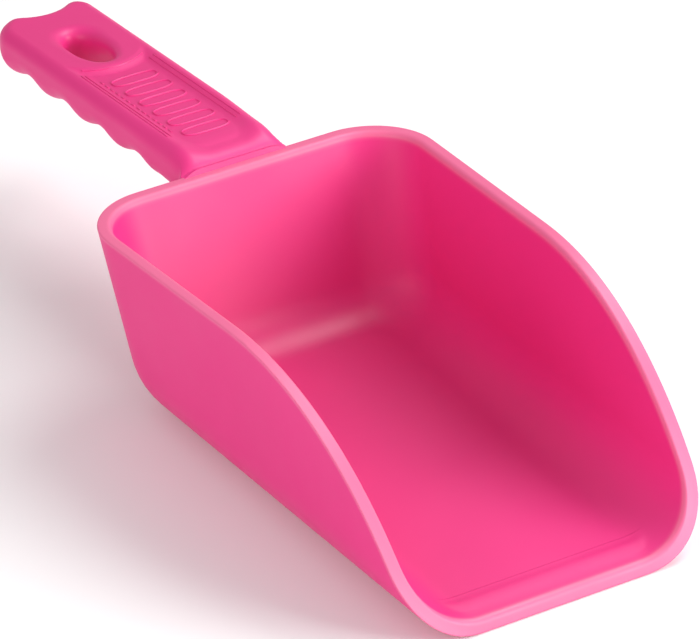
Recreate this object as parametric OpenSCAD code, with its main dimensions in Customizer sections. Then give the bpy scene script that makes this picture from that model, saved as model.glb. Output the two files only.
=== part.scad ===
// Hand scoop for feed and other dry goods: one plastic moulding, divided into its regions.
// Millimetres. X runs across the bowl, +Y points from the front edge to the handle, +Z is up.
// The origin is on the flat underside, halfway along the level floor.

/* [Bowl] */
// Outer width across the top of the back
bowl_width = 130; // [110:1:150]
// Outer height at the top of the back
bowl_height = 63.6; // [50:0.2:80]
// Length of the underside from the front edge to the foot of the back wall
floor_length = 185; // [150:1:220]
// Backward lean of the back wall, millimetres per millimetre of height
back_lean = 0.35; // [0:0.01:0.6]
// Outward lean of the side walls, millimetres per millimetre of height
side_lean = 0.06; // [0:0.01:0.3]
// Widening of each side towards the back, millimetres per millimetre of length
plan_taper = 0.023; // [0:0.001:0.06]
// Radius of the two upright corners
corner_radius = 25.4; // [22:0.2:40]
// Radius between the floor and the walls
floor_radius = 24; // [8:0.5:25]
// Thickness of the walls and floor
wall = 4.8; // [3:0.1:6]

/* [Mouth] */
// Slope of the straight part of the mouth edge, rise per millimetre towards the front
mouth_slope = 0.05; // [0:0.01:0.2]
// Distance from the front edge to the start of the straight part
sweep_length = 109; // [70:1:150]
// Height of the upright start of the sweep at the front edge
sweep_start = 7.5; // [2:0.5:20]
// Length of the tangent that rounds the top of the sweep
sweep_tangent = 71; // [30:1:100]
// Height of the rim band, measured inwards from the mouth edge
rim_height = 5; // [3:0.1:8]

/* [Lip strip] */
// Distance from the front edge to the crease in the floor
crease_distance = 17; // [10:0.5:30]
// Half width of the strip at the crease
strip_half_back = 40; // [20:0.5:50]
// Half width of the strip at the rim
strip_half_front = 37.5; // [20:0.5:50]
// Thickness of the floor inside the strip
strip_wall = 4; // [2:0.1:4.6]

/* [Handle] */
// Distance from the front edge to the end of the handle
overall_length = 345; // [280:1:400]
// Width of the handle
grip_width = 40; // [30:0.5:50]
// Thickness of the handle at the swellings between the finger scallops
grip_thickness = 16; // [12:0.5:24]
// Drop of the handle per millimetre of length
grip_drop = 0.076; // [0:0.001:0.15]
// Height of the handle's upper face above the underside of the bowl at the neck
grip_rise = 69; // [60:0.5:80]
// Radius along the upper edges of the handle
top_edge = 4.5; // [2:0.5:7]
// Radius along the lower edges of the handle
low_edge = 7; // [3:0.5:8]
// Rounding of the two corners of the handle's end, seen from above
end_corner = 14; // [8:0.5:18]
// Distance between finger scallops
scallop_pitch = 25; // [20:0.5:30]
// Depth of each finger scallop
scallop_depth = 2.2; // [0:0.1:4]
// Depth of the notch in the handle's end
notch_depth = 2; // [0:0.1:4]
// Distance from the front edge to the join of neck and grip
neck_end = 213; // [211:1:216]
// Distance from the front edge to where the upper face starts to roll down to the rim
roll_start = 221; // [216:1:230]
// How far the upper face rolls down at the rim
roll_drop = 5.2; // [2:0.1:7]

/* [Hole and dish] */
// Distance from the front edge to the middle of the hanging hole
hole_at = 305; // [290:1:320]
// Length of the hanging hole
hole_length = 27; // [15:0.5:35]
// Width of the hanging hole
hole_width = 13; // [8:0.5:18]
// Depth of the thumb dish
dish_depth = 1.6; // [0.5:0.1:3]
// Half width of the thumb dish
dish_half = 14; // [8:0.5:16]
// Distance from the front edge to the near end of the thumb dish
dish_start = 217; // [216:1:225]
// Distance from the front edge to the far end of the thumb dish
dish_end = 286; // [260:1:290]
// Thickness of the emblem's backing plate
emblem_plate = 0.8; // [0.5:0.1:1.5]
// Height of the emblem's raised outlines above its plate
emblem_relief = 0.6; // [0.2:0.1:1.2]

/* [Hidden] */

PINK = [0.93, 0.16, 0.48];
PALE = [0.97, 0.40, 0.64];
DEEP = [0.85, 0.12, 0.42];
eps = 0.01;
reach = 20;
arc_steps = 10;
grip_steps = 6;
curve_steps = 28;

half_width = bowl_width / 2;
back_top = floor_length + back_lean * bowl_height;
origin_shift = (floor_length - floor_radius) / 2;

// The straight part of the mouth edge and the curve that sweeps down to the front edge
sweep_top = bowl_height + mouth_slope * (back_top - sweep_length);
tangent_scale = sqrt(1 + mouth_slope * mouth_slope);
sweep_points = [
    [0, 0],
    [0, sweep_start],
    [sweep_length - sweep_tangent / tangent_scale, sweep_top + mouth_slope * sweep_tangent / tangent_scale],
    [sweep_length, sweep_top],
];

function bezier(p, t) =
    pow(1 - t, 3) * p[0] + 3 * pow(1 - t, 2) * t * p[1] + 3 * (1 - t) * t * t * p[2] + pow(t, 3) * p[3];

// Half plan of the tub at one height: the side line, then the upright corner
function side_half(y, z, inset) =
    half_width - inset - (bowl_height - z) * side_lean + (y - back_top) * plan_taper;

function tub_half(z, inset, front, skin) =
    let (
        back = floor_length + back_lean * z - inset - skin * (sqrt(1 + back_lean * back_lean) - 1),
        radius = max(corner_radius - inset, 1),
        centre_y = back - radius,
        centre_x = side_half(centre_y, z, inset) - radius
    )
    concat(
        [[side_half(front, z, inset), front]],
        [for (i = [0:arc_steps]) [centre_x + radius * cos(90 * i / arc_steps), centre_y + radius * sin(90 * i / arc_steps)]]
    );

function mirrored(half) =
    concat(half, [for (i = [len(half) - 1:-1:0]) [-half[i][0], half[i][1]]]);

// Closed solid through a stack of outlines that have the same number of points
module loft(outlines) {
    n = len(outlines[0]);
    rows = len(outlines);
    points = [for (outline = outlines) for (p = outline) p];
    sides = [
        for (j = [0:rows - 2]) for (i = [0:n - 1])
            [j * n + i, (j + 1) * n + i, (j + 1) * n + (i + 1) % n, j * n + (i + 1) % n]
    ];
    start_cap = [for (i = [0:n - 1]) i];
    end_cap = [for (i = [n - 1:-1:0]) (rows - 1) * n + i];
    polyhedron(points = points, faces = concat([start_cap, end_cap], sides), convexity = 6);
}

// The bowl as a solid block; skin moves every face inwards by that much
module tub(skin, front, top) {
    r = floor_radius - skin;
    low = [
        for (i = [0:arc_steps])
            let (a = 90 * i / arc_steps, z = skin + r * (1 - cos(a)), inset = skin + r * (1 - sin(a)))
            [for (p = mirrored(tub_half(z, inset, front, skin))) [p[0], p[1], z]]
    ];
    high = [[for (p = mirrored(tub_half(top, skin, front, skin))) [p[0], p[1], top]]];
    loft(concat(low, high));
}

// Side view of everything behind the mouth edge, moved inwards by drop
module mouth_side(drop) {
    curve = [for (i = [0:curve_steps]) bezier(sweep_points, i / curve_steps)];
    end_y = back_top + reach;
    end_z = bowl_height - mouth_slope * reach;
    offset(delta = -drop)
    polygon(concat(curve, [[end_y + reach, end_z - mouth_slope * reach], [end_y + reach, -reach], [0, -reach]]));
}

module mouth_block(drop) {
    translate([-half_width - reach, 0, 0])
    rotate([90, 0, 90])
    linear_extrude(height = bowl_width + 2 * reach)
    mouth_side(drop);
}

module tub_shell(thickness) {
    difference() {
        tub(0, 0, bowl_height + reach);
        tub(thickness, -reach, bowl_height + 2 * reach);
    }
}

// Floor patch in front of the crease
module strip_block() {
    rim_line = rim_height;
    slope = (strip_half_back - strip_half_front) / (crease_distance - rim_line);
    linear_extrude(height = floor_radius)
    polygon([
        [-strip_half_front + slope * rim_line, 0],
        [strip_half_front - slope * rim_line, 0],
        [strip_half_back, crease_distance],
        [-strip_half_back, crease_distance],
    ]);
}

// Rounded outline across the handle at one station
function grip_outline(y, half, low, high, r_top, r_low) = [
    for (k = [3:-1:0], i = [grip_steps:-1:0])
        let (
            side = (k == 0 || k == 3) ? 1 : -1,
            up = (k < 2) ? 1 : -1,
            r = (k < 2) ? r_top : r_low,
            a = 90 * k + 90 * i / grip_steps
        )
        [side * (half - r) + r * cos(a), y, (up > 0 ? high : low) - up * r + r * sin(a)]
];

function grip_line(y) = grip_rise - grip_drop * (y - roll_start);

// The roll down to the rim is a quarter of an ellipse
function roll_part(y) = min(max((roll_start - y) / (roll_start - back_top), 0), 1);

function grip_top(y) = grip_line(y) - roll_drop * (1 - sqrt(1 - pow(roll_part(y), 2)));

function scallop(y) = scallop_depth * (0.5 + 0.5 * cos(360 * (y - hole_at - scallop_pitch / 2) / scallop_pitch));

function grip_low(y) = grip_line(y) - grip_thickness + scallop(y);

// How far the rounded end pulls in at station y for a rounding of radius r
function end_pull(y, r) =
    let (d = max(y - (overall_length - r), 0)) r - sqrt(max(r * r - d * d, 0));

module grip_body() {
    last = 54;
    end_edge = 5;
    stations = [
        for (i = [0:last])
            let (t = i / last)
            neck_end + (overall_length - neck_end) * (1 - pow(1 - t, 1.5))
    ];
    loft([
        for (y = stations)
            let (pull = end_pull(y, end_edge))
            grip_outline(y, grip_width / 2 - end_pull(y, end_corner),
                grip_low(y) + pull, grip_top(y) - pull,
                min(top_edge, grip_thickness / 2 - pull - scallop_depth / 2),
                min(low_edge, grip_thickness / 2 - pull - scallop_depth / 2))
    ]);
}

module slot(length, width, height) {
    hull() {
        for (side = [-1, 1])
            translate([0, side * (length - width) / 2, 0])
            cylinder(h = height, d = width, $fn = 48);
    }
}

// The dish's outline, laid in the handle's upper face
module dish_place() {
    middle = (dish_start + dish_end) / 2;
    translate([0, middle, grip_line(middle)])
    rotate([-atan(grip_drop), 0, 0])
    children();
}

module dish_block(depth, height) {
    length = dish_end - dish_start;
    translate([0, 0, -depth])
    linear_extrude(height = height)
    difference() {
        union() {
            translate([-dish_half, -length / 2 + dish_half])
            square([2 * dish_half, length - dish_half]);
            translate([0, -length / 2 + dish_half])
            circle(r = dish_half, $fn = 72);
        }
        translate([0, length / 2 + dish_half])
        circle(r = 1.15 * dish_half, $fn = 72);
    }
}

module pan() {
    color(PINK)
    difference() {
        intersection() {
            tub_shell(wall);
            mouth_block(rim_height);
        }
        strip_block();
    }
}

module rim() {
    color(PALE)
    intersection() {
        tub_shell(wall);
        difference() {
            mouth_block(0);
            mouth_block(rim_height);
        }
    }
}

module lip_strip() {
    color(PALE)
    intersection() {
        tub_shell(strip_wall);
        mouth_block(rim_height);
        strip_block();
    }
}

module neck() {
    start = floor_length + 10;
    steps = 12;
    flare = 5;
    color(PINK)
    difference() {
        loft([
            for (i = [0:steps])
                let (y = start + (neck_end - start) * i / steps, v = (neck_end - y) / (neck_end - start))
                grip_outline(y, grip_width / 2, grip_low(neck_end) - flare * v * v, grip_top(y), top_edge, low_edge)
        ]);
        tub(0, 0, bowl_height + reach);
    }
}

module grip() {
    color(PINK)
    difference() {
        grip_body();
        translate([0, hole_at, 0])
        slot(hole_length, hole_width, bowl_height + reach);
        translate([0, overall_length + 24 - notch_depth, 0])
        cylinder(h = bowl_height + reach, r = 24, $fn = 96);
        dish_place()
        dish_block(dish_depth, reach);
    }
}

module ring(length, width, line) {
    difference() {
        slot(length, width, emblem_relief);
        translate([0, 0, -eps])
        slot(length - 2 * line, width - 2 * line, emblem_relief + 2 * eps);
    }
}

module emblem() {
    plate_length = 44;
    plate_half = 11;
    line = 0.8;
    ring_length = 16;
    ring_width = 8;
    color(DEEP)
    dish_place()
    translate([0, 0, -dish_depth]) {
        translate([-plate_half, -plate_length / 2, 0])
        cube([2 * plate_half, plate_length, emblem_plate]);
        for (i = [-1.5:1:1.5])
            translate([0, i * ring_width * 1.3, emblem_plate])
            rotate([0, 0, 90])
            ring(ring_length, ring_width, line);
    }
}

translate([0, -origin_shift, 0]) {
    pan();
    rim();
    lip_strip();
    neck();
    grip();
    emblem();
}
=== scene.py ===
"""Feed scoop: the looks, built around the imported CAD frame.

Shapes are written in millimetres, with Y measured back from the bowl's front edge.
place() turns them into metres in the CAD frame.
"""
import math

import bpy
import numpy as np
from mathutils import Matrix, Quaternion, Vector


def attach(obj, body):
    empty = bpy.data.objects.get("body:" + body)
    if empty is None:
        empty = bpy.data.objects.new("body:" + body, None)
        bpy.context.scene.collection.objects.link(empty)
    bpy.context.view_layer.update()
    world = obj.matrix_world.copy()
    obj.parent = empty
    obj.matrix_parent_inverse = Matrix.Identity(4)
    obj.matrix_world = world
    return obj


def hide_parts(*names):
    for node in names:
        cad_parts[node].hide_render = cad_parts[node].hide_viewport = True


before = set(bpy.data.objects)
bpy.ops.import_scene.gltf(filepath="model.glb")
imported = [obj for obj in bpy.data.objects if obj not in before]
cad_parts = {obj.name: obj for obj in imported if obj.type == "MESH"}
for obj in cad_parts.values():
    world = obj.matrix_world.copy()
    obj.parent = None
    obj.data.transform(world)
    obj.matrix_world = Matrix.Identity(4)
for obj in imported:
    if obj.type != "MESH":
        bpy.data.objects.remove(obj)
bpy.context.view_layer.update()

MM = 0.001
FRONT_TO_ORIGIN = 80.5           # from the bowl's front edge back to the CAD origin

# ------------------------------------------------------------------ bowl sizes
WALL = 4.8
HALF = 65.0                      # half the mouth's width at the back
HEIGHT = 63.6                    # the mouth's height at the back
FLOOR = 185.0                    # the floor's length
BACK_LEAN = 0.35                 # all leans are sideways run over height
LEAN_FRONT, LEAN_BACK = 0.042, 0.079
BACK_TOP = FLOOR + BACK_LEAN * HEIGHT
TAPER = 0.023                    # each side's widening towards the back
R_CORNER = 25.4                  # upright back corners, seen from above
R_FRONT, R_BACK = 27.1, 21.8     # bend between the floor and the walls

# The mouth edge in side view: a curve from the lip, then a straight part
MOUTH_SLOPE = 0.05               # the straight part rises towards the front
SWEEP = 109.0                    # Y where the curve meets the straight part
SWEEP_START = (-0.6, 7.5)        # the curve's first control point
SWEEP_TANGENT = 71.0             # the length of its last control arm

# The rim band, with depths measured down from the mouth edge
RIM = 5.0
EDGE_OUT, EDGE_IN = 0.7, 1.9     # rounding of the mouth's outer and inner edge
OUTER_DEPTHS = (RIM, 3.6, 2.4, 1.5, EDGE_OUT)
INNER_DEPTHS = (EDGE_IN, 2.5, 3.3, 4.1, RIM)
# Painted highlight: how far each rounded row of the mouth edge, outer rows then inner rows, is tinted
# towards pale pink to stand for light caught on the rim
OUTER_PAINTED_HIGHLIGHT = (0.0, 0.0, 0.0, 0.0, 0.6)
INNER_PAINTED_HIGHLIGHT = (0.5, 0.15, 0.0, 0.0, 0.0)

# The lip strip in front of the crease across the floor
CREASE, STRIP_HALF, STRIP_SLANT, STRIP_FADE = 17.0, 41.0, 0.33, 4.0
STEP, STEP_RUN = 0.22, 0.55
SWELL, SWELL_FROM, SWELL_RUN = 0.25, 2.0, 2.6
BEVEL, BEVEL_FROM, BEVEL_RUN = 0.7, 4.4, 9.0
LIP_PANEL_DEPTH = 1.6

# Mesh density
STRAIGHT, ACROSS, CORNER_STEPS, DOWN = 26, 44, 18, 26
SWEEP_ROWS = 46
FINE = np.linspace(0, 1, 4001)
RISING = 3000                    # the part of FINE on which the curve surely rises

# ---------------------------------------------------------------- handle sizes
END, SPLIT = 344.95, 213.0       # the handle's end; where neck and grip meet
ROLL_START, ROLL_DROP, ROLL_STOP = 221.0, 6.0, 0.985
GRIP_HALF, GRIP_THICK, GRIP_RISE, GRIP_DROP = 20.0, 16.0, 69.0, 0.076
TOP_EDGE, LOW_EDGE = 4.7, 7.0    # rounding along the grip
NECK_EDGE, NECK_EDGE_FROM, NECK_EDGE_RUN = 6.3, 248.0, 30.0
CORNER_LEFT, CORNER_RIGHT = 13.5, 8.0
SADDLE_AT, SADDLE_RADIUS, SADDLE_DEPTH, SADDLE_BLEND = 2.2, 14.5, 4.3, 2.0
PITCH, SCALLOP, SCALLOP_AT = 25.0, 2.6, 317.5
SCALLOP_FROM, SCALLOP_RUN = 222.0, 14.0
FLARE, FLARE_FROM, FLARE_RUN = 6.0, 226.0, 24.0
HOLE_AT, HOLE_LEN, HOLE_WID = 306.0, 27.0, 13.0
HOLE_EDGE_NEAR, HOLE_EDGE_FAR, HOLE_EDGE_RUN, HOLE_EDGE_LOW = 3.6, 6.0, 12.0, 1.5
NECK_FILLET = 5.0
NECK_SINK, NECK_ROOT = 0.12, 1.5     # how far the fillet and the neck go into the wall
NECK_TOP = 0.8                   # the wall's share of the neck ends this far below the mouth

# The thumb dish in the grip's top
DISH_HALF, DISH_NEAR, DISH_FAR, DISH_DEPTH = 14.0, 209.0, 286.0, 1.5
DISH_CORNER, DISH_BLEND = 9.0, 2.0
DISH_RIM, DISH_SLOPE, DISH_NEAR_SLOPE = 2.2, 6.0, 3.5
DISH_SLOPE_FROM, DISH_SLOPE_RUN = 18.0, 16.0

# The raised pattern in the dish
PATTERN_NEAR, PATTERN_FAR = 227.0, 286.0
BAR_X, BAR_HALF_WIDTH, BAR_HALF_LENGTH, BAR_PITCH = 0.8, 8.8, 2.9, 9.6
BAR_POWER = 2 / 3.2              # squares the ellipse into a bar with round ends
BORDER_X = (12.9, 14.6, -12.9, -14.6)
DASH_X, DASH_FROM, DASH_LENGTH, DASH_PITCH = -10.4, 4.0, 2.1, 3.6

CELL = 0.6                       # the handle mesh's grid


def place(points):
    """Millimetres from the front edge to metres in the CAD frame."""
    out = np.asarray(points, float).reshape(-1, 3).copy()
    out[:, 1] -= FRONT_TO_ORIGIN
    return out * MM


def smooth(x):
    """Eases from 0 to 1 as x goes from 0 to 1."""
    x = np.clip(x, 0, 1)
    return x * x * (3 - 2 * x)


# --------------------------------------------------------- the bowl's surfaces
# In every function, skin is 0 for the outer surface and WALL for the inner one.
def lean(y):
    return LEAN_FRONT + (LEAN_BACK - LEAN_FRONT) * np.clip(y / BACK_TOP, 0, 1)


def fillet(y):
    return R_FRONT + (R_BACK - R_FRONT) * np.clip(y / FLOOR, 0, 1)


def side_line(y, z):
    """Half width of the leaning side wall, before its bend into the floor."""
    return HALF - (HEIGHT - z) * lean(y) + (y - BACK_TOP) * TAPER


def side_centre(y):
    """Half width at the centre of the bend between floor and side wall."""
    s = lean(y)
    return side_line(y, 0) + s * fillet(y) - fillet(y) * np.sqrt(1 + s * s)


def rounded_wall(z, centre, big, slope, skin):
    """Distance out from the middle at height z: the floor's bend, then the leaning wall."""
    r = big - skin
    a = np.arctan(slope)
    z_wall = big - r * np.sin(a)
    arc = centre + np.sqrt(np.maximum(r * r - (big - np.minimum(z, big)) ** 2, 0))
    return np.where(z < z_wall, arc, centre + r * np.cos(a) + (z - z_wall) * slope)


def side_x(y, z, skin):
    return rounded_wall(z, side_centre(y), fillet(y), lean(y), skin)


def back_y(z, skin):
    centre = FLOOR + BACK_LEAN * R_BACK - R_BACK * math.sqrt(1 + BACK_LEAN ** 2)
    return rounded_wall(z, centre, R_BACK, BACK_LEAN, skin)


def corner(theta, z, skin):
    """The upright corner: a quarter ellipse in plan at each height."""
    ay = FLOOR + BACK_LEAN * z - R_CORNER
    ax = side_line(ay, z) - R_CORNER
    rx = side_x(ay, z, skin) - ax
    ry = back_y(z, skin) - ay
    x = ax + rx * np.cos(theta) + TAPER * ry * np.sin(theta) * (1 - np.sin(theta))
    return x, ay + ry * np.sin(theta)


# -------------------------------------------------------------- the mouth edge
def sweep(t):
    """The mouth edge's curve in side view, with the direction of its inward normal."""
    top = HEIGHT + MOUTH_SLOPE * (BACK_TOP - SWEEP)
    arm = SWEEP_TANGENT / math.sqrt(1 + MOUTH_SLOPE ** 2)
    p = np.array([(0, 0), SWEEP_START, (SWEEP - arm, top + MOUTH_SLOPE * arm), (SWEEP, top)])
    t = np.clip(t, 0, 1)[..., None]
    curve = (1 - t) ** 3 * p[0] + 3 * (1 - t) ** 2 * t * p[1] + 3 * (1 - t) * t * t * p[2] + t ** 3 * p[3]
    ahead = 3 * (1 - t) ** 2 * (p[1] - p[0]) + 6 * (1 - t) * t * (p[2] - p[1]) + 3 * t * t * (p[3] - p[2])
    ahead /= np.linalg.norm(ahead, axis=-1, keepdims=True)
    return curve, np.stack([ahead[..., 1], -ahead[..., 0]], -1)


def sunk_sweep(t, depth):
    """The curve moved in by depth."""
    curve, normal = sweep(np.asarray(t, float))
    return curve + depth * normal


def sweep_start(depth, skin):
    """The curve fraction at which the sunk curve leaves the floor."""
    z = sunk_sweep(FINE, depth)[:, 1]
    lowest = np.argmin(z)
    return FINE[lowest + np.argmax(z[lowest:] >= skin)]


def bend_fractions():
    """Curve fractions at equal turns of the floor's bend, so that it stays round at the lip."""
    turns = np.radians(np.arange(0, 85, 4.0))
    heights = fillet(0.0) * (1 - np.cos(turns))
    return np.interp(heights, sweep(FINE)[0][:RISING, 1], FINE[:RISING])


def crease_fractions():
    """Curve fractions whose inner rim points fall close round the crease's step."""
    start = sweep_start(RIM, WALL)
    y = sunk_sweep(start + (1 - start) * FINE, RIM)[:, 0]
    steps = np.array([-1.6, -0.9, -0.55, -0.35, -0.18, 0, 0.18, 0.35, 0.6, 1.0])
    return np.interp(CREASE + steps, y, FINE)


def sweep_fractions():
    """All curve fractions used, from the lip to the straight part."""
    low = bend_fractions()
    pieces = np.linalg.norm(np.diff(sweep(FINE)[0], axis=0), axis=1)
    length = np.concatenate([[0], np.cumsum(pieces)])
    evenly = np.linspace(np.interp(low[-1], FINE, length), length[-1], SWEEP_ROWS)[1:]
    high = np.interp(evenly, length, FINE)
    t = np.sort(np.concatenate([low, high, crease_fractions()]))
    return t[np.concatenate([[True], np.diff(t) > 1e-4])]


SWEEP_T = sweep_fractions()
N_SIDE = len(SWEEP_T) + STRAIGHT         # points along one side, from the lip to the corner
N_TURNED = N_SIDE + CORNER_STEPS         # and to the corner's end


def straight_z(y, depth):
    return HEIGHT + MOUTH_SLOPE * (BACK_TOP - y) - depth * math.sqrt(1 + MOUTH_SLOPE ** 2)


def half_loop(depth, skin):
    """The right half of the loop at a depth below the mouth edge, from the lip to the back's middle."""
    start = sweep_start(depth, skin)
    curve = sunk_sweep(start + (1 - start) * SWEEP_T, depth)
    y, z = curve[:, 0], np.maximum(curve[:, 1], skin)
    z[0] = skin
    swept = np.stack([side_x(y, z, skin), y, z], -1)

    z_end = straight_z(BACK_TOP - R_CORNER, depth)
    y_end = FLOOR + BACK_LEAN * z_end - R_CORNER
    part = np.arange(1, STRAIGHT + 1) / STRAIGHT
    y = SWEEP + (y_end - SWEEP) * part
    y = y + (sunk_sweep(1.0, depth)[0] - SWEEP) * (1 - part)
    z = straight_z(y, depth)
    straight = np.stack([side_x(y, z, skin), y, z], -1)

    theta = np.radians(90) * np.arange(1, CORNER_STEPS + 1) / CORNER_STEPS
    z = np.full(CORNER_STEPS, z_end)
    for _ in range(6):
        x, y = corner(theta, z, skin)
        z = straight_z(y, depth)
    turned = np.stack([x, y, z], -1)

    steps = ACROSS // 2
    x_back = x[-1] * (1 - np.arange(1, steps + 1) / steps)
    level = np.full(steps, z[-1])
    back = np.stack([x_back, np.full(steps, back_y(z[-1], skin)), level], -1)
    return np.concatenate([swept, straight, turned, back])


def down_rows(top, skin):
    """Rows from the loop at the rim's foot down the wall to the floor."""
    y, z = top[:, 1], top[:, 2]
    number = np.arange(len(top))
    past_side = number >= N_SIDE
    past_corner = number >= N_TURNED
    turn = np.clip((number - N_SIDE + 1) / CORNER_STEPS, 0, 1)
    big = np.where(past_side, R_BACK, fillet(np.minimum(y, FLOOR)))
    slope = lean(y) * (1 - turn) + BACK_LEAN * turn
    r = big - skin
    a = np.arctan(slope)
    z_wall = big - r * np.sin(a)
    full_bend = math.pi / 2 - a
    bend = np.where(z < z_wall, np.arccos(np.clip((big - z) / r, -1, 1)), full_bend)
    length = r * bend + np.maximum(z - z_wall, 0) * np.sqrt(1 + slope ** 2)
    first = SWEEP * 0.6
    slant = np.clip((y - first) / (BACK_TOP - R_CORNER - first), 0, 1) ** 1.5 * BACK_LEAN
    rows = [top]
    for step in range(1, DOWN + 1):
        s = length * (1 - step / DOWN)
        in_bend = big - r * np.cos(np.minimum(s / r, full_bend))
        on_wall = z_wall + (s - r * full_bend) * np.cos(a)
        zi = np.minimum(np.maximum(np.where(s < r * full_bend, in_bend, on_wall), skin), z)
        if step == DOWN:
            zi = np.full(len(top), float(skin))
        yi = y - slant * (z - zi)
        side = np.stack([side_x(yi, zi, skin), yi, zi], -1)
        cx, cy = corner(np.radians(90) * turn, zi, skin)
        row = np.where(past_side[:, None], np.stack([cx, cy, zi], -1), side)
        corner_end = row[N_TURNED - 1]
        along = (number[past_corner] - N_TURNED + 1) / (ACROSS // 2)
        row[past_corner, 0] = corner_end[0] * (1 - along)
        row[past_corner, 1:] = corner_end[1:]
        rows.append(row)
    return rows


def full_loop(half):
    """The right half, its mirror image and the points along the lip; a closed loop."""
    left = half[:-1][::-1] * np.array([-1, 1, 1])
    x = np.linspace(-half[0, 0], half[0, 0], ACROSS + 1)[1:-1]
    lip_line = np.stack([x, np.full(ACROSS - 1, half[0, 1]), np.full(ACROSS - 1, half[0, 2])], -1)
    return np.concatenate([half, left, lip_line])


def rounded_edge(start, peak, end, steps):
    """Rows of a rounded edge between two rows, drawn towards the sharp edge at peak."""
    shares = np.linspace(0, 1, steps + 1)
    return [(1 - u) ** 2 * start + 2 * u * (1 - u) * peak + u * u * end for u in shares]


def rim_rows():
    """Rows over the mouth edge, from the rim's outer foot to its inner foot."""
    outer = {d: full_loop(half_loop(d, 0.0)) for d in OUTER_DEPTHS + (0.0,)}
    inner = {d: full_loop(half_loop(d, WALL)) for d in INNER_DEPTHS + (0.0,)}
    out_edge, in_edge = outer[0.0], inner[0.0]
    across = (in_edge - out_edge) / np.linalg.norm(in_edge - out_edge, axis=1, keepdims=True)
    flat_from, flat_to = out_edge + EDGE_OUT * across, in_edge - EDGE_IN * across
    rows = [outer[d] for d in OUTER_DEPTHS]
    rows += rounded_edge(outer[EDGE_OUT], out_edge, flat_from, 5)[1:]
    rows += [flat_from * (1 - u) + flat_to * u for u in (0.33, 0.67)]
    rows += rounded_edge(flat_to, in_edge, inner[EDGE_IN], 8)[:-1]
    return rows + [inner[d] for d in INNER_DEPTHS]


def lip_relief(p):
    """Rise of the floor in front of the crease: a fine step, a low swell, then a bevel down to the lip."""
    forward = CREASE - p[:, 1]
    share = smooth((STRIP_HALF - forward * STRIP_SLANT - np.abs(p[:, 0])) / STRIP_FADE)
    rise = STEP * smooth(forward / STEP_RUN) + SWELL * smooth((forward - SWELL_FROM) / SWELL_RUN)
    return (rise - BEVEL * smooth((forward - BEVEL_FROM) / BEVEL_RUN)) * share


# ------------------------------------------------------------------ mesh tools
class Shell:
    """One smooth skin whose faces belong to regions, so that pieces share points and normals."""

    def __init__(self):
        self.points = []
        self.faces = []
        self.tags = []
        self.count = 0

    def add_points(self, points):
        first = self.count
        self.points.append(np.asarray(points, float))
        self.count += len(points)
        return np.arange(first, self.count)

    def add_faces(self, faces, tag, flip=False):
        for face in faces:
            ids = tuple(int(v) for v in face)
            self.faces.append(ids[::-1] if flip else ids)
            self.tags.append(tag)

    def all_points(self):
        return np.concatenate(self.points)


def grid_quads(rows, closed=True):
    """Quads between successive rows of indices."""
    out = []
    for a, b in zip(rows[:-1], rows[1:]):
        n = len(a)
        for i in range(n if closed else n - 1):
            j = (i + 1) % n
            out.append((a[i], a[j], b[j], b[i]))
    return out


def merge_close(points, faces, tags, gap=1e-4):
    """Joins points that coincide and drops faces that vanish; also returns old index -> new."""
    key = np.round(points / gap).astype(np.int64)
    _, first, new = np.unique(key, axis=0, return_index=True, return_inverse=True)
    new = new.reshape(-1)
    kept_faces, kept_tags = [], []
    for face, tag in zip(faces, tags):
        ids = [int(new[v]) for v in face]
        ids = [v for i, v in enumerate(ids) if v != ids[i - 1]]
        if len(ids) >= 3 and len(set(ids)) == len(ids):
            kept_faces.append(tuple(ids))
            kept_tags.append(tag)
    return points[first], kept_faces, kept_tags, new


def face_cross(p):
    """Twice the area vector of each triangle or quad in p."""
    if p.shape[1] == 4:
        return np.cross(p[:, 2] - p[:, 0], p[:, 3] - p[:, 1])
    return np.cross(p[:, 1] - p[:, 0], p[:, 2] - p[:, 0])


def vertex_normals(points, faces):
    """Area-weighted normals at the points."""
    normals = np.zeros_like(points)
    for size in (3, 4):
        ids = np.array([f for f in faces if len(f) == size])
        if not len(ids):
            continue
        area = face_cross(points[ids])
        for k in range(size):
            np.add.at(normals, ids[:, k], area)
    return normals / np.maximum(np.linalg.norm(normals, axis=1, keepdims=True), 1e-12)


def make_object(name, points, faces, normals=None, caps=()):
    """A mesh object; the faces numbered in caps shade flat, the rest take the given normals."""
    mesh = bpy.data.meshes.new(name)
    mesh.from_pydata(place(points).tolist(), [], faces)
    mesh.polygons.foreach_set("use_smooth", [True] * len(faces))
    mesh.update()
    if normals is not None:
        caps = set(caps)
        loop_normals = []
        for poly in mesh.polygons:
            flat = tuple(poly.normal)
            for v in poly.vertices:
                loop_normals.append(flat if poly.index in caps else tuple(normals[v]))
        mesh.normals_split_custom_set(loop_normals)
    obj = bpy.data.objects.new(name, mesh)
    bpy.context.scene.collection.objects.link(obj)
    return obj


def points_of(faces):
    """The point numbers that faces use."""
    return sorted({v for f in faces for v in f})


def renumber(faces, used):
    """Faces numbered by place in used."""
    new = {v: i for i, v in enumerate(used)}
    return [tuple(new[v] for v in f) for f in faces]


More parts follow.
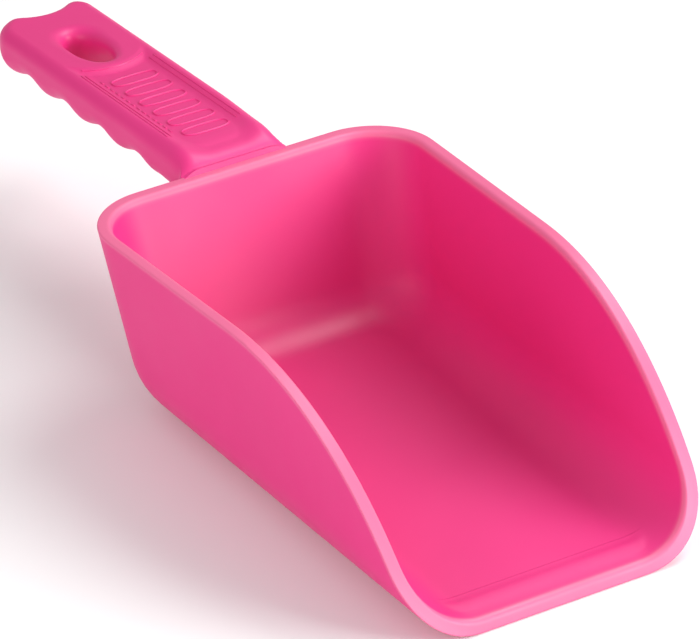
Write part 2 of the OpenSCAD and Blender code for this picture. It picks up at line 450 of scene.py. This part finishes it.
# -------------------------------------------------------------------- the bowl
def fill_floor(shell, ids, inside):
    """Closes a wall's last row: a grid between the sides, a strip to the back and two corner fans."""
    half = (len(ids) - ACROSS + 2) // 2
    right = [ids[i] for i in range(half)]
    left = [ids[2 * half - 2 - i] for i in range(half)]
    points = shell.all_points()
    across = np.linspace(0, 1, ACROSS + 1)[1:-1, None]
    rows = [[left[0], *ids[2 * half - 1:], right[0]]]
    for a, b in zip(left[1:N_SIDE], right[1:N_SIDE]):
        middle = shell.add_points(points[a] * (1 - across) + points[b] * across)
        rows.append([a, *middle, b])
    points = shell.all_points()
    for quad in grid_quads(rows, closed=False):
        in_strip = inside and points[list(quad), 1].mean() < CREASE + 0.1
        shell.add_faces([quad], "lip" if in_strip else "pan", flip=not inside)
    back = left[N_TURNED - 1:half - 1] + right[N_TURNED - 1:][::-1]
    shell.add_faces(grid_quads([rows[-1], back], closed=False), "pan", flip=not inside)
    for side, flip in ((right, not inside), (left, inside)):
        hub, *arc = side[N_SIDE - 1:N_TURNED]
        shell.add_faces([(hub, p, q) for p, q in zip(arc[:-1], arc[1:])], "pan", flip=flip)


def bend_lip(points):
    """Adds the lip strip's relief to the floor's inner skin."""
    picked = (points[:, 1] < CREASE + 1) & (points[:, 2] > WALL / 2) & (points[:, 2] < WALL + 3.5)
    share = np.clip(2 * points[picked, 2] / WALL - 1, 0, 1)
    points[picked, 2] += lip_relief(points[picked]) * share


def edge_highlight_strength(count, rows):
    """How strongly the painted highlight tints the mouth edge's colour at each point."""
    pale = np.zeros(count)
    between = len(rows) - len(OUTER_PAINTED_HIGHLIGHT) - len(INNER_PAINTED_HIGHLIGHT)
    for ids, value in zip(rows, OUTER_PAINTED_HIGHLIGHT + (1.0,) * between + INNER_PAINTED_HIGHLIGHT):
        pale[ids] = np.maximum(pale[ids], value)
    return pale


def open_edges(faces):
    """The directed edges that no neighbouring face shares."""
    edges = {(f[i], f[(i + 1) % len(f)]) for f in faces for i in range(len(f))}
    return [(u, v) for u, v in edges if (v, u) not in edges]


def build_bowl():
    """The rim, the lip strip and the pan: three closed pieces with one skin."""
    shell = Shell()
    rim_ids = [shell.add_points(row) for row in rim_rows()]
    walls = {}
    for inside, skin, foot in ((False, 0.0, rim_ids[0]), (True, WALL, rim_ids[-1])):
        rows = down_rows(half_loop(RIM, skin), skin)[1:]
        walls[inside] = [foot] + [shell.add_points(full_loop(row)) for row in rows]
    shell.add_faces(grid_quads(rim_ids), "rim")
    for inside in (False, True):
        shell.add_faces(grid_quads(walls[inside]), "pan", flip=not inside)
    for inside in (False, True):
        fill_floor(shell, walls[inside][-1], inside)
    points = shell.all_points()
    bend_lip(points)
    points, faces, tags, new = merge_close(points, shell.faces, shell.tags)
    normals = vertex_normals(points, faces)
    region = {tag: [f for f, t in zip(faces, tags) if t == tag] for tag in ("rim", "lip", "pan")}
    # Strength of the painted highlight along the mouth edge
    pale = edge_highlight_strength(len(points), [new[ids] for ids in rim_ids])

    # The hidden cuts: between rim and pan, and round and under the lip strip
    rim_cut = grid_quads([new[rim_ids[-1]].tolist(), new[rim_ids[0]].tolist()])
    top = points_of(region["lip"])
    low = {v: len(points) + i for i, v in enumerate(top)}
    points = np.concatenate([points, points[top] - np.array([0, 0, LIP_PANEL_DEPTH])])
    normals = np.concatenate([normals, np.tile([0, 0, -1.0], (len(top), 1))])
    lip_cut = [(v, u, low[u], low[v]) for u, v in open_edges(region["lip"])]
    lip_cut += [tuple(low[v] for v in f[::-1]) for f in region["lip"]]

    pieces = (("rim_band", "rim", rim_cut), ("lip_panel", "lip", lip_cut),
              ("pan_shell", "pan", [f[::-1] for f in rim_cut + lip_cut]))
    made = []
    for name, tag, cut in pieces:
        both = region[tag] + cut
        used = points_of(both)
        caps = range(len(region[tag]), len(both))
        made.append(make_object(name, points[used], renumber(both, used), normals[used], caps))
        if tag == "rim":
            # The rim keeps the painted highlight's strength as a point attribute for the material
            layer = made[-1].data.attributes.new("painted_edge_highlight", "FLOAT", "POINT")
            layer.data.foreach_set("value", pale[used])
    return made


# ----------------------------------------------------- the handle as a distance
def length2(a, b):
    return np.sqrt(a * a + b * b)


def soft_min(a, b, k):
    """The smaller of a and b, blended over a width k."""
    h = np.maximum(k - np.abs(a - b), 0) / k
    return np.minimum(a, b) - h * h * k / 4


def soft_max(a, b, k):
    return -soft_min(-a, -b, k)


def round_corner(a, b, radius):
    """Distance outside a rounded corner whose arc's centre is at a = b = 0."""
    return length2(np.maximum(a, 0), np.maximum(b, 0)) + np.minimum(np.maximum(a, b), 0) - radius


def grip_height(y):
    return GRIP_RISE - GRIP_DROP * (y - ROLL_START)


def top_line(y):
    """Height of the handle's top: straight, then rolling down into the bowl's rim."""
    u = np.clip((ROLL_START - y) / (ROLL_START - BACK_TOP), 0, ROLL_STOP)
    return grip_height(y) - ROLL_DROP * (1 - np.sqrt(1 - u * u))


def low_line(y):
    """Height of the handle's underside: finger scallops, then a flare into the bowl."""
    wave = 0.5 + 0.5 * np.cos(2 * math.pi * (y - SCALLOP_AT) / PITCH)
    flare = np.clip((FLARE_FROM - y) / FLARE_RUN, 0, 1)
    scallop = SCALLOP * wave * smooth((y - SCALLOP_FROM) / SCALLOP_RUN)
    return grip_height(y) - GRIP_THICK + scallop - FLARE * flare * flare


def dish_edge(x, y):
    """Distance outside the thumb dish: straight sides, a round near end, a far end hollowed by the hole."""
    near = round_corner(np.abs(x) - (DISH_HALF - DISH_CORNER), DISH_NEAR + DISH_CORNER - y, DISH_CORNER)
    far = (HOLE_AT - DISH_FAR) - length2(x, y - HOLE_AT)
    return soft_max(soft_max(near, far, DISH_BLEND), y - HOLE_AT, DISH_BLEND)


def dish(x, y):
    """Depth of the thumb dish."""
    near_end = smooth((DISH_NEAR + DISH_SLOPE_FROM - y) / DISH_SLOPE_RUN)
    width = DISH_SLOPE + DISH_NEAR_SLOPE * near_end
    return DISH_DEPTH * smooth((DISH_RIM - dish_edge(x, y)) / width)


def hole(x, y):
    """About the distance outside the hanging hole, an upright elliptical bore."""
    u, v = x / (HOLE_WID / 2), (y - HOLE_AT) / (HOLE_LEN / 2)
    k = np.maximum(length2(u, v), 1e-4)
    return k * (k - 1) / np.maximum(length2(u / (HOLE_WID / 2), v / (HOLE_LEN / 2)), 1e-4)


def outline(x, y):
    """Distance outside the handle's outline seen from above, with the saddle in its end."""
    radius = np.where(x < 0, CORNER_LEFT, CORNER_RIGHT)
    plan = round_corner(np.abs(x) - (GRIP_HALF - radius), y - (END - radius), radius)
    notch = SADDLE_RADIUS - length2(x - SADDLE_AT, y - (END - SADDLE_DEPTH + SADDLE_RADIUS))
    return soft_max(plan, notch, SADDLE_BLEND)


def handle_bar(p):
    """Distance outside the handle, neck included, without the wall that it springs from."""
    x, y, z = p[..., 0], p[..., 1], p[..., 2]
    top = top_line(y) - dish(x, y)
    low = low_line(y)
    mid, half = (top + low) / 2, (top - low) / 2
    top_edge = TOP_EDGE + (NECK_EDGE - TOP_EDGE) * smooth((NECK_EDGE_FROM - y) / NECK_EDGE_RUN)
    edge = np.minimum(np.where(z > mid, top_edge, LOW_EDGE), half)
    body = round_corner(outline(x, y) + edge, np.abs(z - mid) - half + edge, edge)
    far_side = smooth((y - HOLE_AT) / HOLE_EDGE_RUN)
    hole_top = HOLE_EDGE_NEAR + (HOLE_EDGE_FAR - HOLE_EDGE_NEAR) * far_side
    return soft_max(body, -hole(x, y), np.where(z > mid, hole_top, HOLE_EDGE_LOW))


def into_back_wall(p):
    """How far a point lies inside the back wall's outer surface; negative behind the bowl."""
    return (FLOOR + BACK_LEAN * p[..., 2] - p[..., 1]) / math.sqrt(1 + BACK_LEAN ** 2)


def handle(p):
    """The handle blended into the back wall; the blend dives just under the wall's surface."""
    below_mouth = p[..., 2] - (HEIGHT - NECK_TOP + MOUTH_SLOPE * (BACK_TOP - p[..., 1]))
    wall = np.maximum(NECK_SINK - into_back_wall(p), below_mouth)
    return soft_min(handle_bar(p), wall, NECK_FILLET)


def cut_at_root(p):
    return into_back_wall(p) - NECK_ROOT


def cut_past_fillet(p):
    return handle_bar(p) - NECK_FILLET - 0.9


def cut_beyond_split(p):
    return p[..., 1] - SPLIT


def cut_before_split(p):
    return SPLIT - p[..., 1]


# ------------------------------------------------------ meshes from a distance
def gradient(field, p, e=0.02):
    out = np.zeros_like(p)
    for k in range(3):
        step = np.zeros(3)
        step[k] = e
        out[:, k] = (field(p + step) - field(p - step)) / (2 * e)
    return out


def pull_to(field, p):
    """One step that moves points onto the surface where the field is 0."""
    g = gradient(field, p)
    return p - (field(p) / np.maximum((g * g).sum(axis=1), 1e-6))[:, None] * g


def net_points(f, low, h):
    """One point in each cell that the surface crosses, with the cells' numbers (-1 elsewhere)."""
    shape = [s - 1 for s in f.shape]

    def shifted(values, o):
        return values[o[0]:o[0] + shape[0], o[1]:o[1] + shape[1], o[2]:o[2] + shape[2]]

    inside_corners = np.zeros(shape)
    crossings = np.zeros(shape)
    spots = np.zeros(shape + [3])
    for o in [(i, j, k) for i in (0, 1) for j in (0, 1) for k in (0, 1)]:
        inside_corners += shifted(f < 0, o)
        for axis in range(3):
            if o[axis]:
                continue
            q = list(o)
            q[axis] = 1
            fa, fb = shifted(f, o), shifted(f, q)
            crossed = (fa < 0) != (fb < 0)
            spot = np.zeros(shape + [3]) + np.array(o, float)
            spot[..., axis] += np.where(crossed, fa / np.where(crossed, fa - fb, 1), 0)
            spots += spot * crossed[..., None]
            crossings += crossed
    active = (inside_corners > 0) & (inside_corners < 8)
    index = np.full(shape, -1)
    index[active] = np.arange(active.sum())
    mean = spots[active] / np.maximum(crossings[active], 1)[:, None]
    return np.array(low) + h * (np.argwhere(active) + mean), index


def net_quads(inside, index):
    """One outward quad for each grid edge that the surface crosses."""
    quads = []
    for axis in range(3):
        a, b = (axis + 1) % 3, (axis + 2) % 3
        here = [slice(1, -1)] * 3
        here[axis] = slice(0, -1)
        ahead = [slice(1, -1)] * 3
        ahead[axis] = slice(1, None)
        start = inside[tuple(here)]
        change = start != inside[tuple(ahead)]
        cell = np.argwhere(change)
        cell[:, [a, b]] += 1
        step_a, step_b = np.zeros(3, int), np.zeros(3, int)
        step_a[a] = 1
        step_b[b] = 1
        corners = [cell - step_a - step_b, cell - step_b, cell, cell - step_a]
        quad = np.stack([index[tuple(c.T)] for c in corners], -1)
        goes_in = ~start[change]
        quad[goes_in] = quad[goes_in][:, ::-1]
        quads.append(quad)
    return np.concatenate(quads)


def build_solid(name, skin, cuts, low, high):
    """A closed piece: the skin's surface, cut by the given fields (positive is cut away)."""
    fields = [skin, *cuts]
    axes = [np.arange(low[k], high[k] + CELL, CELL) for k in range(3)]
    grid = np.stack(np.meshgrid(*axes, indexing="ij"), -1)
    values = np.max([field(grid) for field in fields], axis=0)
    points, index = net_points(values, low, CELL)
    quads = net_quads(values < 0, index)

    near = CELL * 0.75
    touching = [np.abs(field(points)) < near for field in fields]
    for _ in range(10):
        for field, picked in zip(fields, touching):
            if picked.any():
                points[picked] = pull_to(field, points[picked])
    normals = gradient(skin, points)
    normals /= np.maximum(np.linalg.norm(normals, axis=1, keepdims=True), 1e-9)

    # A quad belongs to a cut when it faces the cut's way more than the skin's
    facing = face_cross(points[quads])
    centre = points[quads].mean(axis=1)
    skin_share = (facing * gradient(skin, centre)).sum(axis=1)
    caps = np.zeros(len(quads), bool)
    for cut in cuts:
        cut_share = (facing * gradient(cut, centre)).sum(axis=1)
        caps |= (np.abs(cut(centre)) < near) & (cut_share > skin_share)
    return make_object(name, points, quads.tolist(), normals, np.flatnonzero(caps).tolist())


def build_handle():
    """The neck and the grip; the grid's rows straddle the plane where they meet."""
    split_row = SPLIT - CELL * 0.5
    neck = build_solid("neck_rise", handle, [cut_at_root, cut_beyond_split, cut_past_fillet],
                       [-28.3, split_row - CELL * 34, 28.1], [28.3, SPLIT + 2, 78])
    grip = build_solid("grip_body", handle, [cut_before_split],
                       [-22.3, split_row - CELL * 3, 38.1], [22.3, END + 2, 72])
    return neck, grip


# ------------------------------------------------------- the dish's raised pattern
RIDGE = ((-0.5, -0.35), (-0.42, 0.35), (-0.22, 0.85), (0, 1), (0.22, 0.85), (0.42, 0.35), (0.5, -0.35))


def ribbon(path, width, height, closed=False):
    """A low rounded ridge that follows path over the dish's floor."""
    n, k = len(path), len(RIDGE)
    if closed:
        ahead, behind = np.roll(path, -1, axis=0), np.roll(path, 1, axis=0)
    else:
        ahead, behind = np.concatenate([path[1:], path[-1:]]), np.concatenate([path[:1], path[:-1]])
    along = ahead - behind
    along /= np.linalg.norm(along, axis=1, keepdims=True)
    side = np.stack([-along[:, 1], along[:, 0]], -1)
    lines = []
    for u, v in RIDGE:
        xy = path + side * u * width
        z = top_line(xy[:, 1]) - dish(xy[:, 0], xy[:, 1]) + v * height
        lines.append(np.concatenate([xy, z[:, None]], -1))
    faces = []
    for r in range(k):
        s = (r + 1) % k
        for i in range(n if closed else n - 1):
            j = (i + 1) % n
            faces.append((r * n + i, r * n + j, s * n + j, s * n + i))
    if not closed:
        faces.append(tuple(r * n for r in range(k)))
        faces.append(tuple(r * n + n - 1 for r in range(k - 1, -1, -1)))
    return np.concatenate(lines), faces


def bar_outline(middle_y):
    """A rounded bar across the dish, as a closed path."""
    t = np.linspace(0, 2 * math.pi, 64, endpoint=False)
    c, s = np.cos(t), np.sin(t)
    x = BAR_X + BAR_HALF_WIDTH * np.sign(c) * np.abs(c) ** BAR_POWER
    y = middle_y + BAR_HALF_LENGTH * np.sign(s) * np.abs(s) ** BAR_POWER
    return np.stack([x, y], -1)


def line_along(x, near, far, count):
    return np.stack([np.full(count, x), np.linspace(near, far, count)], -1)


def build_pattern():
    """Six outlined bars, border lines, an arc round the hole's near side and a row of dashes."""
    ridges = []
    for i in range(6):
        bar = bar_outline(PATTERN_NEAR + 0.5 + i * BAR_PITCH)
        ridges.append(ribbon(bar, 0.8, 0.45, closed=True))
    for x in BORDER_X:
        ridges.append(ribbon(line_along(x, PATTERN_NEAR, PATTERN_FAR, 40), 0.5, 0.3))
    swing = np.radians(np.linspace(-128, -52, 40))
    radius = HOLE_AT - PATTERN_FAR
    arc = np.stack([radius * np.cos(swing), HOLE_AT + radius * np.sin(swing)], -1)
    ridges.append(ribbon(arc, 0.6, 0.3))
    for i in range(14):
        near = PATTERN_NEAR + DASH_FROM + i * DASH_PITCH
        ridges.append(ribbon(line_along(DASH_X, near, near + DASH_LENGTH, 4), 0.9, 0.28))
    points, faces = [], []
    first = 0
    for ridge_points, ridge_faces in ridges:
        points.append(ridge_points)
        faces += [tuple(v + first for v in f) for f in ridge_faces]
        first += len(ridge_points)
    return make_object("dish_pattern", np.concatenate(points), faces)


# -------------------------------------------------------------------- material
def add_noise(tree, coord, scale, detail):
    node = tree.nodes.new("ShaderNodeTexNoise")
    node.inputs["Scale"].default_value = scale
    node.inputs["Detail"].default_value = detail
    node.inputs["Roughness"].default_value = 0.5
    tree.links.new(coord.outputs["Object"], node.inputs["Vector"])
    return node.outputs["Fac"]


def moulded_plastic():
    """Pink plastic: slow colour variation, a painted highlight along the mouth edge, uneven gloss and a
    fine grain.
    """
    mat = bpy.data.materials.new("pink_moulding")
    mat.use_nodes = True
    tree = mat.node_tree
    bsdf = tree.nodes["Principled BSDF"]
    bsdf.inputs["IOR"].default_value = 1.49
    bsdf.inputs["Specular IOR Level"].default_value = 0.35
    coord = tree.nodes.new("ShaderNodeTexCoord")

    ramp = tree.nodes.new("ShaderNodeValToRGB")
    dark, light = ramp.color_ramp.elements
    dark.position, dark.color = 0.3, (0.71, 0.026, 0.200, 1)
    light.position, light.color = 0.7, (0.75, 0.031, 0.216, 1)
    tree.links.new(add_noise(tree, coord, 11, 3), ramp.inputs["Fac"])
    # Painted highlight: the mouth edge's colour is mixed towards pale pink to stand for light caught on the
    # rounded rim
    edge = tree.nodes.new("ShaderNodeAttribute")
    edge.attribute_name = "painted_edge_highlight"
    mix = tree.nodes.new("ShaderNodeMix")
    mix.data_type = "RGBA"
    mix.inputs["B"].default_value = (0.76, 0.13, 0.28, 1)
    tree.links.new(edge.outputs["Fac"], mix.inputs["Factor"])
    tree.links.new(ramp.outputs["Color"], mix.inputs["A"])
    tree.links.new(mix.outputs["Result"], bsdf.inputs["Base Color"])

    rough = tree.nodes.new("ShaderNodeMapRange")
    rough.inputs["From Min"].default_value = 0.3
    rough.inputs["From Max"].default_value = 0.7
    rough.inputs["To Min"].default_value = 0.42
    rough.inputs["To Max"].default_value = 0.52
    tree.links.new(add_noise(tree, coord, 26, 4), rough.inputs["Value"])
    tree.links.new(rough.outputs["Result"], bsdf.inputs["Roughness"])

    relief = tree.nodes.new("ShaderNodeMath")
    relief.operation = "MULTIPLY_ADD"
    relief.inputs[1].default_value = 6.0
    tree.links.new(add_noise(tree, coord, 60, 2), relief.inputs[0])
    tree.links.new(add_noise(tree, coord, 1400, 2), relief.inputs[2])
    bump = tree.nodes.new("ShaderNodeBump")
    bump.inputs["Strength"].default_value = 0.10
    bump.inputs["Distance"].default_value = 0.00012
    tree.links.new(relief.outputs["Value"], bump.inputs["Height"])
    tree.links.new(bump.outputs["Normal"], bsdf.inputs["Normal"])
    return mat


# ---------------------------------------------------------- floor, light, camera
LIGHT_AIM = Vector((0, 0.03, 0.03))
LIGHT_DISTANCE = 1.3


def add_floor():
    mat = bpy.data.materials.new("pale_floor")
    mat.use_nodes = True
    bsdf = mat.node_tree.nodes["Principled BSDF"]
    bsdf.inputs["Base Color"].default_value = (0.92, 0.92, 0.92, 1)
    bsdf.inputs["Roughness"].default_value = 0.7
    bpy.ops.mesh.primitive_plane_add(size=30, location=(0, 0, -0.0002))
    floor = bpy.context.object
    floor.name = "floor"
    floor.data.materials.append(mat)


def direction(azimuth, elevation):
    """Unit vector away from the scoop; azimuth in radians from the front towards the right."""
    flat = math.cos(elevation)
    return Vector((math.sin(azimuth) * flat, -math.cos(azimuth) * flat, math.sin(elevation)))


def soft_light(name, azimuth, elevation, size, radiance, gloss_only=False):
    """A softbox aimed at the scoop from LIGHT_DISTANCE; angles in degrees, sizes in metres."""
    away = direction(math.radians(azimuth), math.radians(elevation))
    data = bpy.data.lights.new(name, "AREA")
    data.shape = "RECTANGLE"
    data.size, data.size_y = size
    data.energy = radiance * math.pi * size[0] * size[1]
    obj = bpy.data.objects.new(name, data)
    obj.location = LIGHT_AIM + LIGHT_DISTANCE * away
    obj.rotation_mode = "QUATERNION"
    obj.rotation_quaternion = away.to_track_quat("Z", "Y")
    obj.visible_camera = False
    obj.visible_diffuse = not gloss_only
    bpy.context.scene.collection.objects.link(obj)


def add_world():
    world = bpy.data.worlds.new("studio")
    bpy.context.scene.world = world
    world.use_nodes = True
    background = world.node_tree.nodes["Background"]
    background.inputs["Color"].default_value = (1, 1, 1, 1)
    background.inputs["Strength"].default_value = 0.52


def add_camera(azimuth, elevation, roll, distance, aim, lens):
    data = bpy.data.cameras.new("camera")
    data.sensor_width = 36
    data.lens = lens
    data.clip_start, data.clip_end = 0.05, 60
    away = direction(math.radians(azimuth), math.radians(elevation))
    camera = bpy.data.objects.new("camera", data)
    camera.location = Vector(aim) + distance * away
    camera.rotation_mode = "QUATERNION"
    camera.rotation_quaternion = away.to_track_quat("Z", "Y") @ Quaternion((0, 0, 1), math.radians(roll))
    bpy.context.scene.collection.objects.link(camera)
    bpy.context.scene.camera = camera


rim, lip, pan = build_bowl()
neck, grip = build_handle()
pattern = build_pattern()
moulding = moulded_plastic()
for piece, node in ((rim, "rim"), (lip, "lip_strip"), (pan, "pan"), (neck, "neck"), (grip, "grip"),
                    (pattern, "emblem")):
    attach(piece, "root")
    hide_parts(node)
    piece.data.materials.append(moulding)

add_floor()
soft_light("key", 44, 25, (0.85, 0.65), 9.5)
soft_light("left_fill", -75, 22, (0.8, 0.8), 3.5)
soft_light("high_right", 112, 52, (0.6, 0.6), 5.0)
soft_light("overhead_sheen", 96, 62, (0.6, 0.7), 8.0, gloss_only=True)
soft_light("front_sheen", 30, 10, (0.7, 0.5), 9.0, gloss_only=True)
add_world()
bpy.context.scene.view_settings.view_transform = "Standard"
add_camera(-31.824, 31.389, -0.168, 2.207, (0.00007, 0.05212, 0.03906), 339.43)
